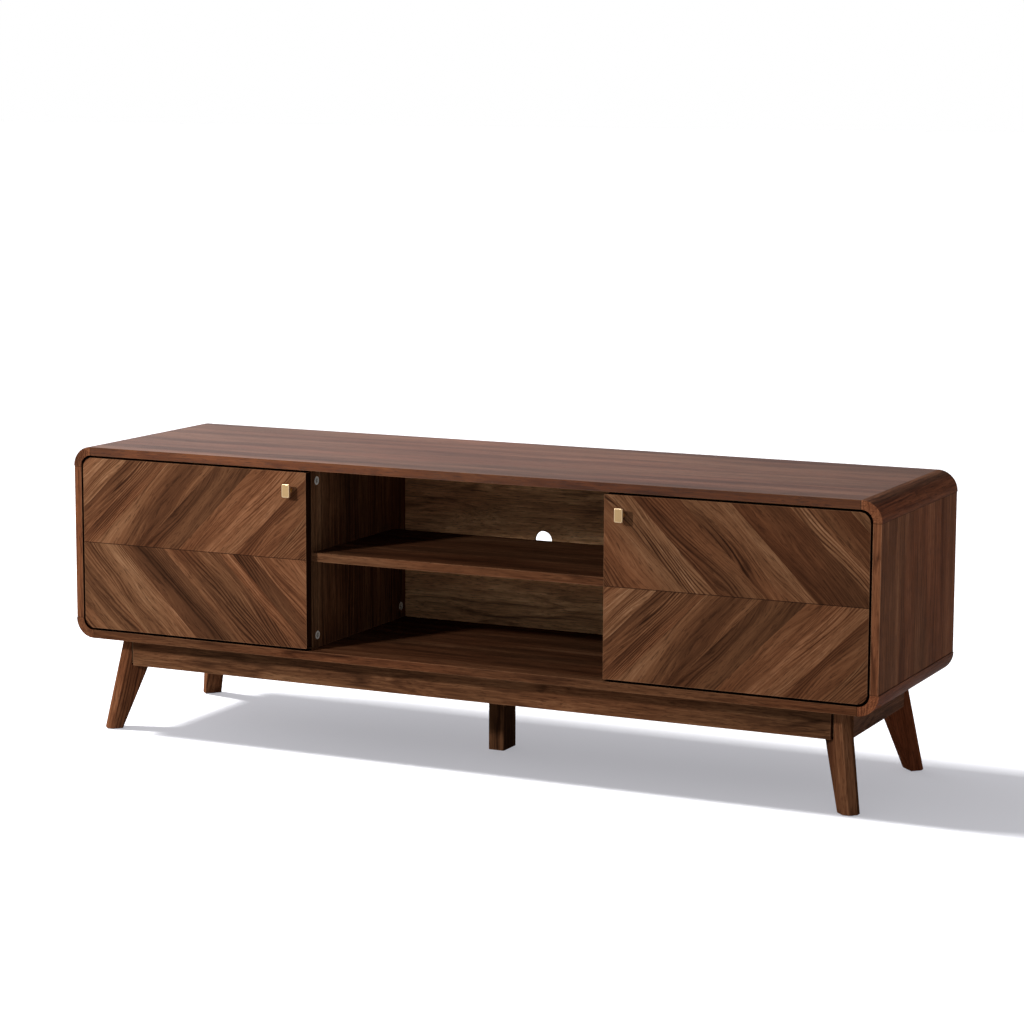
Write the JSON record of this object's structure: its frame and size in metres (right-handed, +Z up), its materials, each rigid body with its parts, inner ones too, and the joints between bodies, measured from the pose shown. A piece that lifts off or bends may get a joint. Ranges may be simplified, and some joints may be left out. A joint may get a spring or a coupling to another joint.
{
  "type": "tv stand with doors",
  "caption": "Low walnut-veneered media cabinet with rounded ends, an open shelved bay between hinged chevron doors, brass plate knobs and splayed tapered board legs.",
  "frame": {"origin": "on the floor, under the middle of the case: half way along its width and half way through its 400 mm depth", "axes": "+X along the width to the right seen from the front, +Y to the back, -Y is the front with the doors and knobs, +Z up"},
  "size_m": [1.5, 0.415, 0.512],
  "materials": {
    "walnut_case": "satin-lacquered walnut veneer on board, orange-brown, straight grain along the board",
    "walnut_moulding": "satin-lacquered solid walnut quarter rounds, darker, grain running front to back",
    "walnut_inside": "satin-lacquered walnut veneer, a little darker, figured on the back panel",
    "walnut_door": "satin-lacquered walnut veneer laid in chevrons of strips that vary in tone",
    "walnut_base": "satin-lacquered solid walnut, dark brown",
    "beech_block": "planed unlacquered beech",
    "brass_knob": "brushed satin brass with polished bevels",
    "cam_zinc": "bright zinc die casting with a cross slot",
    "hinge_steel": "nickel-plated pressed steel",
    "glide_pad": "dark matte plastic"
  },
  "bodies": {
    "stand": {"back_panel": "walnut_inside", "back_rail": "walnut_base", "bottom_panel": "walnut_case", "cam_left_front_bottom": "cam_zinc", "cam_left_front_top": "cam_zinc", "cam_left_rear_bottom": "cam_zinc", "cam_left_rear_top": "cam_zinc", "cam_right_front_bottom": "cam_zinc", "cam_right_front_top": "cam_zinc", "cam_right_rear_bottom": "cam_zinc", "cam_right_rear_top": "cam_zinc", "centre_leg": "walnut_base", "corner_block_front_left": "beech_block", "corner_block_front_right": "beech_block", "corner_block_rear_left": "beech_block", "corner_block_rear_right": "beech_block", "corner_bottom_left": "walnut_moulding", "corner_bottom_right": "walnut_moulding", "corner_top_left": "walnut_moulding", "corner_top_right": "walnut_moulding", "cross_rail": "beech_block", "divider_left": "walnut_inside", "divider_right": "walnut_inside", "front_rail": "walnut_base", "glide_centre": "glide_pad", "glide_front_left": "glide_pad", "glide_front_right": "glide_pad", "glide_rear_left": "glide_pad", "glide_rear_right": "glide_pad", "hinge_arm_left_lower": "hinge_steel", "hinge_arm_left_upper": "hinge_steel", "hinge_arm_right_lower": "hinge_steel", "hinge_arm_right_upper": "hinge_steel", "hinge_plate_left_lower": "hinge_steel", "hinge_plate_left_upper": "hinge_steel", "hinge_plate_right_lower": "hinge_steel", "hinge_plate_right_upper": "hinge_steel", "leg_front_left": "walnut_base", "leg_front_right": "walnut_base", "leg_rear_left": "walnut_base", "leg_rear_right": "walnut_base", "shelf_centre": "walnut_inside", "shelf_left": "walnut_inside", "shelf_right": "walnut_inside", "side_panel_left": "walnut_case", "side_panel_right": "walnut_case", "side_rail_left": "walnut_base", "side_rail_right": "walnut_base", "top_panel": "walnut_case"},
    "door_left_leaf": {"door_left": "walnut_door", "knob_left": "brass_knob", "knob_screw_left": "hinge_steel", "hinge_cup_left_lower": "hinge_steel", "hinge_cup_left_upper": "hinge_steel"},
    "door_right_leaf": {"door_right": "walnut_door", "knob_right": "brass_knob", "knob_screw_right": "hinge_steel", "hinge_cup_right_lower": "hinge_steel", "hinge_cup_right_upper": "hinge_steel"}
  },
  "joints": [
    {"name": "door_left_hinge", "type": "hinge", "parent": "stand", "child": "door_left_leaf", "pos_m": [-0.711, -0.1905, 0.34], "axis": [0, 0, -1], "range_deg": [0, 95]},
    {"name": "door_right_hinge", "type": "hinge", "parent": "stand", "child": "door_right_leaf", "pos_m": [0.711, -0.1905, 0.34], "axis": [0, 0, 1], "range_deg": [0, 95]}
  ]
}
